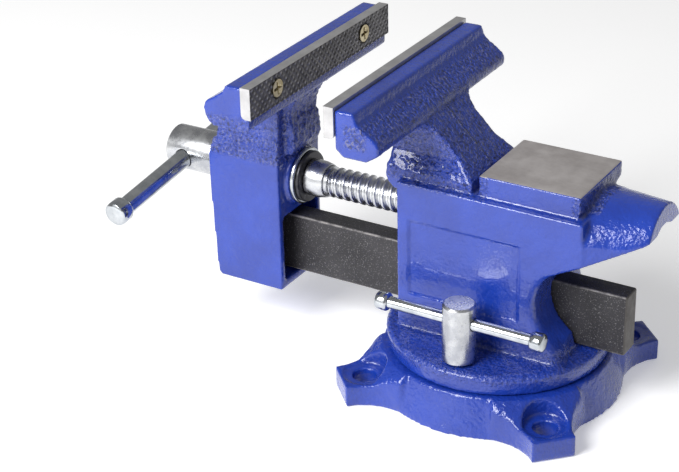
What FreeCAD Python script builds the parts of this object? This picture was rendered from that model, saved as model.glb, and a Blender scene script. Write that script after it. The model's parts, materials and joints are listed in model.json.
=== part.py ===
"""Bench vise with a swivel base, a small anvil and a horn, as an assembly of separate pieces.

Millimetres. The origin is on the swivel axis, at the underside of the base. +Z is up, +Y runs back
towards the horn, -Y towards the operator and the tommy bar, and +X is the side of the lock bolt.
"""
import FreeCAD, Part
import math
import os
import Sketcher

Vector = FreeCAD.Vector
os.makedirs("parts", exist_ok=True)
doc = FreeCAD.newDocument("bench_vise")

# ---------------------------------------------------------------- driving dimensions

DIMENSIONS = [
    # jaws
    ("jaw_width", 115.0), ("jaw_top", 139.8), ("plate_height", 14.0), ("plate_thick", 5.2),
    ("fixed_grip", -52.5), ("jaw_gap", 34.5), ("head_inset", 0.7), ("plate_seam", 0.3),
    ("plate_screw_spread", 36.0), ("plate_screw_radius", 2.5), ("plate_screw_head", 4.1),
    ("plate_screw_depth", 10.0), ("plate_corner", 2.2),
    # fixed jaw casting
    ("flank_half", 25.0), ("flank_front", -37.0), ("ledge_height", 96.2), ("flank_rear", 48.5),
    ("neck_half", 16.2), ("neck_foot_half", 21.0), ("neck_flare", 8.0),
    ("anvil_half", 21.0), ("anvil_top", 105.3), ("anvil_front", -0.3), ("anvil_rear", 45.5),
    ("horn_radius", 17.5), ("horn_bore", 12.5), ("horn_end", 73.5), ("horn_axis_height", 82.5),
    ("channel_axis_height", 79.0), ("channel_floor", 62.0), ("channel_front", -22.0),
    # swivel
    ("disc_radius", 49.5), ("disc_bottom", 17.8), ("disc_top", 27.0), ("spigot_radius", 9.0),
    ("pivot_radius", 5.0), ("pivot_head_flats", 17.0), ("pivot_washer_radius", 15.0),
    # base
    ("base_height", 17.5), ("base_top_radius", 50.5), ("base_foot_radius", 55.5),
    ("cavity_radius", 48.3), ("cavity_height", 9.5), ("lug_reach", 72.2), ("lug_tip_half", 9.4),
    ("lug_height", 9.6), ("lug_sweep", 24.0), ("bolt_spacing", 86.6), ("bolt_hole_radius", 5.2),
    ("spotface_radius", 9.6), ("swivel_limit", 120.0), ("slot_end_angle", 13.0),
    # moving jaw casting
    ("post_half", 17.5), ("post_rear", -101.6), ("post_front", -139.2), ("post_bottom", 23.0),
    ("post_shoulder", 92.5), ("rib_half", 11.5), ("pocket_half", 14.0), ("pocket_floor", 27.0),
    ("pocket_roof", 58.6), ("pocket_end", -123.0),
    # slide bar
    ("bar_width", 10.9), ("bar_height", 28.0), ("bar_bottom", 28.45), ("bar_rear", 61.1),
    ("bar_front", -132.8), ("bar_play", 0.45), ("bar_screw_height", 42.5), ("bar_screw_radius", 3.0),
    # spindle
    ("spindle_height", 75.0), ("thread_radius", 7.0), ("shank_radius", 6.9), ("hub_radius", 10.2),
    ("hub_front", -169.0), ("hub_rear", -141.1), ("thread_front", -84.0), ("thread_rear", 30.0),
    ("handle_station", -159.0), ("handle_droop", 6.7), ("thrust_washer_radius", 13.0),
    ("nut_length", 25.9), ("collar_radius", 8.4), ("collar_length", 9.5),
    # tommy bar of the spindle
    ("handle_length", 125.0), ("handle_radius", 4.3), ("handle_knob_radius", 5.7),
    ("handle_knob_length", 8.0),
    # lock bolt and its tommy bar
    ("lock_x", 39.4), ("lock_y", 0.7), ("lock_head_radius", 7.2), ("lock_head_top", 54.9),
    ("lock_shank_radius", 4.0), ("lock_bar_height", 46.2), ("lock_bar_length", 76.0),
    ("lock_bar_radius", 2.7), ("lock_knob_radius", 4.1), ("lock_knob_length", 6.0),
    # clearances
    ("face_gap", 0.1), ("turn_gap", 0.3),
]

sheet = doc.addObject("Spreadsheet::Sheet", "Sizes")
for row, (alias, amount) in enumerate(DIMENSIONS, start=1):
    sheet.set(f"A{row}", alias)
    sheet.set(f"B{row}", str(amount))
    sheet.setAlias(f"B{row}", alias)
doc.recompute()


class Size:
    """A number together with the spreadsheet expression that gives it."""

    def __init__(self, value, text):
        self.value = value
        self.text = text

    def _join(self, other, sign, value):
        return Size(value, f"({self.text} {sign} {as_size(other).text})")

    def __add__(self, other):
        return self._join(other, "+", self.value + as_size(other).value)

    def __sub__(self, other):
        return self._join(other, "-", self.value - as_size(other).value)

    def __mul__(self, other):
        return self._join(other, "*", self.value * as_size(other).value)

    def __truediv__(self, other):
        return self._join(other, "/", self.value / as_size(other).value)

    def __neg__(self):
        return Size(-self.value, f"(0 - {self.text})")


def as_size(amount):
    """The amount as a Size, whether it is one already or a plain number."""
    if isinstance(amount, Size):
        return amount
    return Size(float(amount), f"({float(amount)})")


def dim(alias):
    """A driving dimension of the sheet."""
    return Size(float(sheet.get(alias)), f"Sizes.{alias}")


def bind(item, name, amount):
    """Drives one property from the sheet."""
    item.setExpression(name, as_size(amount).text)


# ---------------------------------------------------------------- sketching

PLANES = {"XY": ("XY_Plane", 1.0), "XZ": ("XZ_Plane", -1.0), "YZ": ("YZ_Plane", 1.0)}


def new_body(name):
    """An empty PartDesign body whose label names its file."""
    body = doc.addObject("PartDesign::Body", name)
    body.Label = name
    return body


def new_sketch(body, plane, level=None, turn=0.0):
    """A sketch on one of the body's origin planes, moved to a level along the plane's axis."""
    role, sense = PLANES[plane]
    sketch = body.newObject("Sketcher::SketchObject", f"{body.Name}_sketch")
    sketch.AttachmentSupport = [(origin_feature(body, role), "")]
    sketch.MapMode = "FlatFace"
    if turn:
        sketch.AttachmentOffset = FreeCAD.Placement(Vector(), FreeCAD.Rotation(Vector(0, 0, 1), turn))
    if level is not None:
        bind(sketch, ".AttachmentOffset.Base.z", as_size(level) * sense)
    return sketch


def origin_feature(body, role):
    """The plane or axis of the body's origin with that role."""
    for feature in body.Origin.OriginFeatures:
        if feature.Role == role:
            return feature
    raise ValueError(role)


def hold(sketch, geometry, point, across, up):
    """Fixes one point of a sketch by its distances from the sketch's origin."""
    for kind, amount, axis in (("DistanceX", across, -2), ("DistanceY", up, -1)):
        size = as_size(amount)
        if abs(size.value) < 1e-9:
            sketch.addConstraint(Sketcher.Constraint("PointOnObject", geometry, point, axis))
            continue
        index = sketch.addConstraint(Sketcher.Constraint(kind, -1, 1, geometry, point, size.value))
        bind(sketch, f"Constraints[{index}]", size)


def draw_circle(sketch, across, up, radius):
    """A full circle, held by its centre and radius."""
    centre = Vector(as_size(across).value, as_size(up).value, 0)
    geometry = sketch.addGeometry(Part.Circle(centre, Vector(0, 0, 1), as_size(radius).value), False)
    hold(sketch, geometry, 3, across, up)
    index = sketch.addConstraint(Sketcher.Constraint("Radius", geometry, as_size(radius).value))
    bind(sketch, f"Constraints[{index}]", radius)


def arc_middle(start, end, radius):
    """The middle of the arc from start to end: a positive radius bulges to the left of the way."""
    chord = end - start
    left = Vector(-chord.y, chord.x, 0).normalize()
    half = chord.Length / 2
    rise = abs(radius) - math.sqrt(max(radius * radius - half * half, 0.0))
    return (start + end) / 2 + left * math.copysign(rise, radius)


def draw_outline(sketch, corners):
    """A closed outline. A corner is (across, up), or (across, up, radius) where an arc leads to it."""
    points = [Vector(as_size(c[0]).value, as_size(c[1]).value, 0) for c in corners]
    ends = []
    for number, corner in enumerate(corners):
        start, end = points[number - 1], points[number]
        if len(corner) == 2:
            geometry = sketch.addGeometry(Part.LineSegment(start, end), False)
        else:
            radius = as_size(corner[2])
            middle = arc_middle(start, end, radius.value)
            geometry = sketch.addGeometry(Part.Arc(start, middle, end), False)
            index = sketch.addConstraint(Sketcher.Constraint("Radius", geometry, abs(radius.value)))
            bind(sketch, f"Constraints[{index}]", radius if radius.value > 0 else -radius)
        first = 1 if sketch.getPoint(geometry, 1).distanceToPoint(start) < 1e-6 else 2
        ends.append((geometry, first, 3 - first))
    for number, corner in enumerate(corners):
        geometry, _, last = ends[number]
        following, first, _ = ends[(number + 1) % len(corners)]
        sketch.addConstraint(Sketcher.Constraint("Coincident", geometry, last, following, first))
        hold(sketch, geometry, last, corner[0], corner[1])


# ---------------------------------------------------------------- features

def pad(body, plane, corners, length, level=None, both_ways=False, towards=1, turn=0.0):
    """Adds an extruded outline, towards the plus or minus side of the plane's axis, or both ways."""
    sketch = new_sketch(body, plane, level, turn)
    draw_outline(sketch, corners)
    return extrude(body, "Pad", sketch, length, both_ways, towards != PLANES[plane][1])


def pocket(body, plane, outlines, length, level=None, both_ways=False, towards=1):
    """Removes extruded outlines, and checks that material went."""
    sketch = new_sketch(body, plane, level)
    for corners in outlines:
        draw_outline(sketch, corners)
    return cut_sketch(body, sketch, length, both_ways, towards == PLANES[plane][1])


def drill(body, plane, centres, radius, length, level=None, both_ways=False, towards=1):
    """Removes round holes, and checks that material went."""
    sketch = new_sketch(body, plane, level)
    for across, up in centres:
        draw_circle(sketch, across, up, radius)
    return cut_sketch(body, sketch, length, both_ways, towards == PLANES[plane][1])


def cut_sketch(body, sketch, length, both_ways, reverse):
    """Cuts a sketch out of the body."""
    doc.recompute()
    before = body.Shape.Volume
    feature = extrude(body, "Pocket", sketch, length, both_ways, reverse)
    doc.recompute()
    if body.Shape.Volume > before - 0.1:
        raise RuntimeError(f"{feature.Name} cuts nothing")
    return feature


def extrude(body, kind, sketch, length, both_ways, reverse):
    """A Pad or Pocket of a sketch."""
    feature = body.newObject(f"PartDesign::{kind}", f"{body.Name}_{kind.lower()}")
    feature.Profile = sketch
    feature.SideType = "Symmetric" if both_ways else "One side"
    feature.Reversed = reverse
    bind(feature, "Length", length)
    return feature


def revolve(body, corners, axis="V_Axis", plane="XZ", kind="Revolution", angle=360.0, both_ways=False):
    """Adds, or as a Groove removes, an outline turned about one axis of its sketch."""
    sketch = new_sketch(body, plane)
    draw_outline(sketch, corners)
    feature = body.newObject(f"PartDesign::{kind}", f"{body.Name}_{kind.lower()}")
    feature.Profile = sketch
    feature.ReferenceAxis = (sketch, [axis])
    feature.Midplane = both_ways
    bind(feature, "Angle", angle)
    return feature


def pattern_round(body, feature, count):
    """Repeats a feature about the vertical axis."""
    pattern = body.newObject("PartDesign::PolarPattern", f"{body.Name}_pattern")
    pattern.Originals = [feature]
    pattern.Axis = (origin_feature(body, "Z_Axis"), [""])
    pattern.Angle = 360.0
    pattern.Occurrences = count
    body.Tip = pattern
    return pattern


def loft(body, plane, sections):
    """Adds a loft through outlines at their levels."""
    sketches = []
    for level, corners in sections:
        sketch = new_sketch(body, plane, level)
        draw_outline(sketch, corners)
        sketches.append(sketch)
    feature = body.newObject("PartDesign::AdditiveLoft", f"{body.Name}_loft")
    feature.Profile = sketches[0]
    feature.Sections = sketches[1:]
    feature.Ruled = True
    return feature


def box_outline(left, right, low, high):
    """A rectangle."""
    return [(left, low), (right, low), (right, high), (left, high)]


def arch_outline(half_width, low, axis_height):
    """A round arch on straight legs."""
    return [(-half_width, low), (half_width, low), (half_width, axis_height),
            (0, axis_height + half_width, -half_width), (-half_width, axis_height, -half_width)]


def low_arch(half_width, low, foot, radius):
    """A box with an arched top, whose arc stands on its upper corners."""
    return [(-half_width, low), (half_width, low), (half_width, foot), (-half_width, foot, -radius)]


def mirrored(corners):
    """The same outline on the other side of the sketch's vertical axis."""
    return [(-as_size(c[0]), c[1]) + ((-as_size(c[2]),) if len(c) == 3 else ()) for c in corners]


def dress(body, kind, amount, wanted):
    """A Fillet or Chamfer on the edges for which wanted(edge) holds."""
    doc.recompute()
    base = body.Tip
    names = [f"Edge{n}" for n, edge in enumerate(base.Shape.Edges, start=1) if wanted(edge)]
    feature = body.newObject(f"PartDesign::{kind}", f"{body.Name}_{kind.lower()}")
    feature.Base = (base, names)
    bind(feature, "Radius" if kind == "Fillet" else "Size", amount)
    return feature


def is_line_along(edge, axis):
    """Whether an edge is straight and runs along that axis."""
    if not isinstance(edge.Curve, Part.Line):
        return False
    return abs(edge.tangentAt(edge.FirstParameter).dot(axis)) > 0.999


# ---------------------------------------------------------------- swivel base

def make_swivel_base():
    """Round hollow base with four bolt lugs and an arc slot for the lock bolt."""
    body = new_body("swivel_base")
    pivot_hole = dim("spigot_radius") + dim("turn_gap")
    height, cavity = dim("base_height"), dim("cavity_height")
    revolve(body, [(pivot_hole, cavity), (dim("cavity_radius"), cavity), (dim("cavity_radius"), 0),
                   (dim("base_foot_radius"), 0), (dim("base_top_radius"), height), (pivot_hole, height)])

    tip, half = dim("lug_reach"), dim("lug_tip_half")
    foot_x, foot_y = dim("base_foot_radius") * 0.926, dim("base_foot_radius") * 0.378
    wall_x, wall_y = foot_x - 5.0, foot_y - 2.4
    inner = dim("base_top_radius") - 0.4
    lug = pad(body, "XY", [(tip, half), (foot_x, foot_y, dim("lug_sweep")), (wall_x, wall_y),
                           (wall_x, -wall_y, inner), (foot_x, -foot_y), (tip, -half, dim("lug_sweep"))],
              height, turn=45.0)
    pattern_round(body, lug, 4)

    slope_start, slope_end = dim("base_top_radius") + 1.2, dim("lug_reach") - 10.5
    outside, above = dim("lug_reach") + 12.0, dim("base_height") + 10.0
    revolve(body, [(slope_start, height), (slope_end, dim("lug_height") + 0.6), (outside, dim("lug_height")),
                   (outside, above), (slope_start, above)], kind="Groove")

    bolt = dim("bolt_spacing") / 2
    centres = [(bolt, bolt), (-bolt, bolt), (-bolt, -bolt), (bolt, -bolt)]
    drill(body, "XY", centres, dim("spotface_radius"), height, level=dim("lug_height") - 0.4)
    drill(body, "XY", centres, dim("bolt_hole_radius"), height)

    reach = math.hypot(dim("lock_x").value, dim("lock_y").value)
    slot_half = dim("lock_shank_radius") + 0.6
    revolve(body, box_outline(as_size(reach) - slot_half, as_size(reach) + slot_half, cavity - 1.0,
                              height + 1.0),
            kind="Groove", angle=(dim("swivel_limit") + dim("slot_end_angle")) * 2, both_ways=True)
    return body


# ---------------------------------------------------------------- fixed jaw casting

def plate_screw_centres(height):
    """Where the two screws of a jaw plate sit, seen along the vise."""
    return [(dim("plate_screw_spread"), height), (-dim("plate_screw_spread"), height)]


def plate_screw_height():
    """The height of the jaw plates' screws."""
    return dim("jaw_top") - dim("plate_height") / 2


def neck_relief(foot_half, foot_height, shoulder_height, waist_height, roof):
    """The outline beside a neck that widens by an arc into the jaw head and spreads at its foot."""
    waist, flare, outside = dim("neck_half"), dim("neck_flare"), dim("jaw_width") / 2
    return [(outside, foot_height), (outside, roof), (waist + flare, roof), (waist, -flare + roof, -flare),
            (waist, waist_height), (foot_half, shoulder_height), (foot_half, foot_height)]


def make_fixed_jaw():
    """Fixed jaw, body, anvil, horn and swivel disc, cast in one piece."""
    body = new_body("fixed_jaw_body")
    back = dim("fixed_grip") + dim("plate_thick")
    top, front = dim("jaw_top") - 1.3, dim("flank_front")

    # neck: upright in front, sloping at 45 degrees behind
    pad(body, "YZ", [(back + 0.8, top - 3), (back + 0.8, 120), (-43.5, 112), (-44.5, 98), (-38.0, 90, -7),
                     (front + 1, 86), (-3.2, 86), (-3.8, 100.5), (-37.0, 133.6), (-40.0, top - 3)],
        dim("jaw_width") * 0.62, both_ways=True)
    beside = neck_relief(dim("neck_foot_half"), 84, 99.5, 107.6, 123.2)
    pocket(body, "XZ", [beside, mirrored(beside)], 400, both_ways=True)

    # head behind the jaw plate
    pad(body, "YZ", [(back, top), (back + 8.5, top), (back + 10.1, top - 4.7), (back + 17.8, top - 10.1),
                     (back + 19.1, top - 17.0, 4.5), (back + 14.3, top - 20.1), (back + 3.3, top - 20.1),
                     (back, top - 17)],
        dim("jaw_width") - dim("head_inset") * 2, both_ways=True)

    # flanks, with the round throat behind them over the slide bar
    pad(body, "YZ", [(front, 22), (front, dim("ledge_height")),
                     (dim("flank_rear"), dim("ledge_height") - 0.7),
                     (dim("flank_rear"), 76.3), (39.8, 71.7), (37.5, 34.6, -21), (40.0, 26), (40.0, 22)],
        dim("flank_half") * 2, both_ways=True)

    # anvil block
    anvil_top, rear = dim("anvil_top"), dim("anvil_rear")
    pad(body, "YZ", [(dim("anvil_front"), 90), (dim("anvil_front"), anvil_top), (rear, anvil_top),
                     (rear, anvil_top - 7.4), (rear - 1.5, anvil_top - 9), (rear - 1.5, 90)],
        dim("anvil_half") * 2, both_ways=True)

    # horn: a broad low arch at its root, narrowing to a round one at its end
    radius, axis_height = dim("horn_radius"), dim("horn_axis_height")
    root_half, root_foot, root_radius = dim("flank_half") - 0.4, 86.2, 28.2
    loft(body, "XZ", [(38.0, low_arch(root_half, 71.7, root_foot, root_radius)),
                      (dim("flank_rear"), low_arch(root_half, 71.7, root_foot, root_radius)),
                      (dim("horn_end"), low_arch(radius - 0.4, 71.7, axis_height + 3.7, radius))])
    far_ledge = [(-30, 85), (-root_half, root_foot), (-21.5, 90.2), (-16, 95.2), (-19.5, anvil_top - 7.4),
                 (-30, anvil_top - 7.4)]
    pocket(body, "XZ", [far_ledge], 20, level=38.0)
    pocket(body, "YZ", [[(39.8, 71.7), (39.8, 60.0), (90.0, 60.0), (90.0, 97.3)]], 120, both_ways=True)

    # swivel disc with its spigot
    disc, low, high = dim("disc_radius"), dim("disc_bottom"), dim("disc_top")
    spigot_end = dim("cavity_height") - dim("face_gap")
    revolve(body, [(0, spigot_end), (dim("spigot_radius"), spigot_end), (dim("spigot_radius"), low),
                   (disc - 1.2, low), (disc, high - 1.5), (disc - 1.5, high), (0, high)])

    # spindle bore, nut channel and slide bar way
    drill(body, "XZ", [(0, dim("spindle_height"))], dim("thread_radius") + 0.6, 80, level=-60)
    pocket(body, "XZ", [arch_outline(dim("horn_bore"), dim("channel_floor"), dim("channel_axis_height"))],
           120, level=dim("channel_front"))
    side, play = dim("bar_width") / 2 + dim("bar_play"), dim("bar_play")
    pocket(body, "XZ", [box_outline(-side, side, dim("bar_bottom") - play,
                                    dim("bar_bottom") + dim("bar_height") + play)], 300, both_ways=True)

    # holes for the fasteners
    drill(body, "XY", [(0, 0)], dim("pivot_radius") + dim("face_gap"), 26.0)
    drill(body, "XY", [(dim("lock_x"), dim("lock_y"))], dim("lock_shank_radius") + dim("turn_gap"), 28.0)
    drill(body, "XZ", plate_screw_centres(plate_screw_height()), dim("plate_screw_radius") + dim("face_gap"),
          dim("plate_screw_depth"), level=back - 2.0)
    drill(body, "YZ", [(dim("channel_front") + 13, dim("spindle_height"))], 3.1, 20.0,
          level=-(dim("flank_half") + 2.0))
    return body


# ---------------------------------------------------------------- moving jaw casting

def moving_grip():
    """Where the moving jaw's gripping face stands."""
    return dim("fixed_grip") - dim("jaw_gap")


def make_moving_jaw():
    """Moving jaw: head, neck and a hollow post that carries the spindle and the slide bar."""
    body = new_body("moving_jaw")
    back = moving_grip() - dim("plate_thick")
    top, rear, front = dim("jaw_top") - 0.7, dim("post_rear"), dim("post_front")
    shoulder = dim("post_shoulder")

    # neck, sloping at 45 degrees towards the operator
    pad(body, "YZ", [(rear, 86), (rear, top - 14), (rear - 1.4, top - 5.6), (front + 5.2, shoulder + 9),
                     (front + 4.7, 86)], dim("jaw_width") * 0.62, both_ways=True)
    beside = neck_relief(dim("neck_half") + 0.8, 80, 96.0, 100.0, 123.5)
    pocket(body, "XZ", [beside, mirrored(beside)], 400, both_ways=True)

    # head, with a ledge under the jaw plate
    ledge = dim("jaw_top") - dim("plate_height") - dim("plate_seam")
    pad(body, "YZ", [(back, top), (back, ledge), (back + 3.7, ledge), (back + 3.7, ledge - 4),
                     (back + 1, ledge - 6.3),
                     (back - 14.8, ledge - 6.1), (back - 19.1, ledge + 1, 8), (back - 15.6, top - 7.4, 4.5),
                     (back - 9.2, top - 3), (back - 7.8, top)],
        dim("jaw_width") - dim("head_inset") * 2, both_ways=True)

    # post
    pad(body, "YZ", [(rear, dim("post_bottom")), (rear, shoulder), (front + 3, shoulder),
                     (front + 0.4, shoulder - 8),
                     (front, dim("spindle_height")), (front + 0.6, 60), (front + 2.2, dim("post_bottom") + 2),
                     (front + 4.2, dim("post_bottom"))], dim("post_half") * 2, both_ways=True)

    # rib over the spindle, and the turned boss round its bore
    pad(body, "YZ", [(rear - 1, shoulder - 4), (rear - 1, ledge - 4), (rear + 9.6, ledge - 4),
                     (rear + 4.6, 112),
                     (rear + 3.1, 107), (rear + 5.1, 100), (rear + 5.6, 94), (rear + 3.6, shoulder - 3)],
        dim("rib_half") * 2, both_ways=True)
    boss = new_sketch(body, "XZ", rear - 1)
    draw_circle(boss, 0, dim("spindle_height"), dim("thrust_washer_radius") + 0.3)
    extrude(body, "Pad", boss, 3.3, False, True)

    # pocket for the slide bar, with a close seat at its front end
    pocket(body, "XZ", [box_outline(-dim("pocket_half"), dim("pocket_half"), dim("pocket_floor"),
                                    dim("pocket_roof"))],
           rear - dim("pocket_end") + 5, level=dim("pocket_end"))
    seat = dim("bar_width") / 2 + dim("face_gap")
    pocket(body, "XZ", [box_outline(-seat, seat, dim("bar_bottom") - dim("face_gap"),
                                    dim("bar_bottom") + dim("bar_height") + dim("face_gap"))],
           dim("pocket_end") - dim("bar_front") + 1, level=dim("bar_front") - dim("face_gap"))

    drill(body, "XZ", [(0, dim("spindle_height"))], dim("shank_radius") + 0.4, 100, level=-160)
    drill(body, "XZ", [(0, dim("bar_screw_height"))], dim("bar_screw_radius") + dim("turn_gap"), 20,
          level=-145)
    drill(body, "XZ", plate_screw_centres(plate_screw_height()), dim("plate_screw_radius") + dim("face_gap"),
          dim("plate_screw_depth"), level=back + 2.0, towards=-1)
    return body


def make_slide_bar():
    """Flat guide bar, fixed in the moving jaw and running through the body."""
    body = new_body("slide_bar")
    low, high = dim("bar_bottom"), dim("bar_bottom") + dim("bar_height")
    half = dim("bar_width") / 2
    pad(body, "XZ", box_outline(-half, half, low, high), dim("bar_rear") - dim("bar_front"),
        level=dim("bar_front"))
    dress(body, "Chamfer", 0.6, lambda edge: True)
    drill(body, "XZ", [(0, dim("bar_screw_height"))], dim("bar_screw_radius") + dim("face_gap"), 18,
          level=dim("bar_front") - 1)
    return body


# ---------------------------------------------------------------- jaw plates

def make_jaw_plate(name, grip, facing):
    """Hardened jaw plate with two countersunk holes; facing is the way its gripping face looks."""
    body = new_body(name)
    half = dim("jaw_width") / 2
    low, high = dim("jaw_top") - dim("plate_height"), dim("jaw_top")
    back = grip - dim("plate_thick") * facing
    pad(body, "XZ", box_outline(-half, half, low, high), dim("plate_thick") - dim("face_gap"), level=grip,
        towards=-facing)
    back_level = back.value + dim("face_gap").value * facing
    dress(body, "Fillet", dim("plate_corner"),
          lambda edge: is_line_along(edge, Vector(1, 0, 0)) and near(edge, y=back_level, z=low.value))
    drill(body, "XZ", plate_screw_centres(plate_screw_height()), dim("plate_screw_radius") + dim("face_gap"),
          30, level=grip, both_ways=True)
    sink = dim("plate_screw_head") - dim("plate_screw_radius")
    dress(body, "Chamfer", sink, lambda edge: isinstance(edge.Curve, Part.Circle)
          and near(edge, y=grip.value) and edge.Curve.Radius < 3)
    return body


def near(edge, y, z=None):
    """Whether the edge's middle lies at that y, and z if given."""
    middle = edge.CenterOfMass
    return abs(middle.y - y) < 1e-3 and (z is None or abs(middle.z - z) < 1e-3)


def make_plate_screws(name, grip, facing):
    """The two countersunk screws of a jaw plate, in one node."""
    group = doc.addObject("Part::Compound", name)
    group.Label = name
    links = []
    for side in (1, -1):
        head = doc.addObject("Part::Cone", f"{name}_head")
        bind(head, "Radius1", dim("plate_screw_head") - dim("face_gap") * 2)
        bind(head, "Radius2", dim("plate_screw_radius") - dim("face_gap") * 2)
        bind(head, "Height", dim("plate_screw_head") - dim("plate_screw_radius"))
        shank = doc.addObject("Part::Cylinder", f"{name}_shank")
        bind(shank, "Radius", dim("plate_screw_radius"))
        bind(shank, "Height", dim("plate_screw_depth") + 1.5)
        screw = doc.addObject("Part::MultiFuse", f"{name}_screw")
        screw.Shapes = [head, shank]
        screw.Placement = FreeCAD.Placement(Vector(), FreeCAD.Rotation(Vector(1, 0, 0), 90 * facing))
        bind(screw, ".Placement.Base.x", dim("plate_screw_spread") * side)
        bind(screw, ".Placement.Base.y", grip - dim("face_gap") * facing)
        bind(screw, ".Placement.Base.z", plate_screw_height())
        links.append(screw)
    group.Links = links
    return group


# ---------------------------------------------------------------- turned pieces

def turned(name, profile, x=0, y=0, z=0, along="Z"):
    """A turned piece: profile is (radius, station) about its own Z axis, then laid along an axis."""
    body = new_body(name)
    revolve(body, profile)
    turn = {"Z": FreeCAD.Rotation(), "Y": FreeCAD.Rotation(Vector(1, 0, 0), -90),
            "-Y": FreeCAD.Rotation(Vector(1, 0, 0), 90), "X": FreeCAD.Rotation(Vector(0, 1, 0), 90)}[along]
    body.Placement = FreeCAD.Placement(Vector(), turn)
    for letter, amount in (("x", x), ("y", y), ("z", z)):
        bind(body, f".Placement.Base.{letter}", amount)
    return body


def ring_profile(inner, outer, start, end, bevel=0.2):
    """A washer with its outer edges bevelled."""
    return [(inner, start), (outer - bevel, start), (outer, start + bevel), (outer, end - bevel),
            (outer - bevel, end), (inner, end)]


def make_spindle():
    """Main screw: drilled hub, plain shank, and the thread at its crest size."""
    hub, shank, thread = dim("hub_radius"), dim("shank_radius"), dim("thread_radius")
    body = turned("spindle", [
        (0, dim("hub_front")), (hub - 1, dim("hub_front")), (hub, dim("hub_front") + 1),
        (hub, dim("hub_rear")),
        (shank, dim("hub_rear")), (shank, dim("thread_front")),
        (thread, dim("thread_front") + 1), (thread, dim("thread_rear") - 1.5),
        (thread - 1.5, dim("thread_rear")), (0, dim("thread_rear"))],
        z=dim("spindle_height"), along="Y")
    hole = doc.addObject("Part::Cylinder", "handle_hole")
    bind(hole, "Radius", dim("handle_radius") + dim("turn_gap"))
    bind(hole, "Height", 40)
    lay_handle(hole, -20)
    return drilled("spindle", body, hole)


def drilled(name, blank, tool):
    """The blank with the tool's shape taken out, which takes over the name."""
    blank.Label = f"{name}_blank"
    cut = doc.addObject("Part::Cut", f"{name}_drilled")
    cut.Base, cut.Tool = blank, tool
    cut.Label = name
    return cut


def lay_handle(item, start):
    """Lays an object that stands on its own Z axis along the spindle's tommy bar, from a station on it."""
    droop = dim("handle_droop").value
    angle = math.radians(droop)
    item.Placement = FreeCAD.Placement(Vector(), FreeCAD.Rotation(Vector(0, 1, 0), 90 + droop))
    start = as_size(start)
    bind(item, ".Placement.Base.x", start * math.cos(angle))
    bind(item, ".Placement.Base.y", dim("handle_station"))
    bind(item, ".Placement.Base.z", dim("spindle_height") - start * math.sin(angle))


def bar_profile(length, radius, tenon_radius, tenon_length):
    """A tommy bar centred on its own origin, with a tenon at each end for a knob."""
    end = length / 2 - 0.8
    step = end - tenon_length
    return [(0, -end), (tenon_radius, -end), (tenon_radius, -step), (radius, -step), (radius, step),
            (tenon_radius, step), (tenon_radius, end), (0, end)]


def knob_profile(radius, length, bore, bore_depth):
    """An end knob, from its inner face at 0 outwards, bored to take the bar's tenon."""
    return [(bore, 0), (radius - 0.5, 0), (radius, 0.5), (radius, length * 0.45),
            (radius - 0.7, length * 0.6),
            (radius - 0.7, length - 1.2), (radius - 1.9, length), (0, length), (0, bore_depth),
            (bore, bore_depth)]


def make_handle():
    """Tommy bar of the spindle and its two end knobs."""
    length, knob = dim("handle_length"), dim("handle_knob_length")
    tenon_length = knob - 2.0
    bar = turned("handle_bar", bar_profile(length, dim("handle_radius"), 3.0, tenon_length))
    lay_handle(bar, 0)
    knobs = []
    for name, sense in (("handle_knob_right", 1), ("handle_knob_left", -1)):
        piece = turned(name, knob_profile(dim("handle_knob_radius"), knob, 3.05, knob - 0.9))
        inner_face = length / 2 - knob + 1.25
        lay_handle(piece, inner_face * sense)
        if sense < 0:
            piece.Placement.Rotation = FreeCAD.Rotation(Vector(0, 1, 0), 90 + dim("handle_droop").value + 180)
        knobs.append(piece)
    return [bar] + knobs


def make_spindle_fittings():
    """Thrust washers, spring washer and retaining collar round the spindle."""
    height, rear = dim("spindle_height"), dim("post_rear")
    shank = dim("shank_radius")
    bore = shank + dim("turn_gap")
    front = turned("front_thrust_washer",
                   ring_profile(bore, dim("hub_radius") + 1.2, dim("post_front") - 1.7,
                                dim("post_front") - 0.1),
                   z=height, along="Y")
    washer = turned("rear_thrust_washer",
                    ring_profile(bore, dim("thrust_washer_radius"), rear + 2.4, rear + 4.7, 0.5),
                    z=height, along="Y")
    spring = turned("spring_washer",
                    ring_profile(bore, dim("thrust_washer_radius") - 1.2, rear + 4.8, rear + 6.6, 0.4),
                    z=height, along="Y")
    inner, outer = dim("thread_radius") + dim("face_gap") / 2, dim("collar_radius")
    start = rear + 6.8
    end = start + dim("collar_length")
    collar = turned("retaining_collar",
                    [(inner, start), (outer - 0.4, start), (outer, start + 0.4), (outer, end - 3.5),
                     (inner + 0.6, end), (inner, end)], z=height, along="Y")
    return [front, washer, spring, collar]


def make_spindle_nut():
    """Cast nut that fills the arched channel in the body."""
    body = new_body("spindle_nut")
    gap = dim("face_gap") * 1.5
    pad(body, "XZ", arch_outline(dim("horn_bore") - gap, dim("channel_floor") + gap,
                                 dim("channel_axis_height")),
        dim("nut_length"), level=dim("channel_front") + dim("face_gap"))
    drill(body, "XZ", [(0, dim("spindle_height"))], dim("thread_radius") + dim("face_gap"), 40,
          level=dim("channel_front") - 1)
    drill(body, "YZ", [(dim("channel_front") + 13, dim("spindle_height"))], 2.6, 6.0,
          level=-dim("horn_bore") - 2)
    return body


def make_set_screw():
    """Set screw through the far flank, whose point keeps the spindle nut from turning."""
    body = turned("nut_set_screw", [(0, 0), (2.2, 0), (3.0, 0.8), (3.0, 11.4), (2.3, 12.1), (2.3, 15.0),
                                    (0, 15.0)],
                  x=-(dim("flank_half") - 0.3), y=dim("channel_front") + 13, z=dim("spindle_height"),
                  along="X")
    return body


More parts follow.
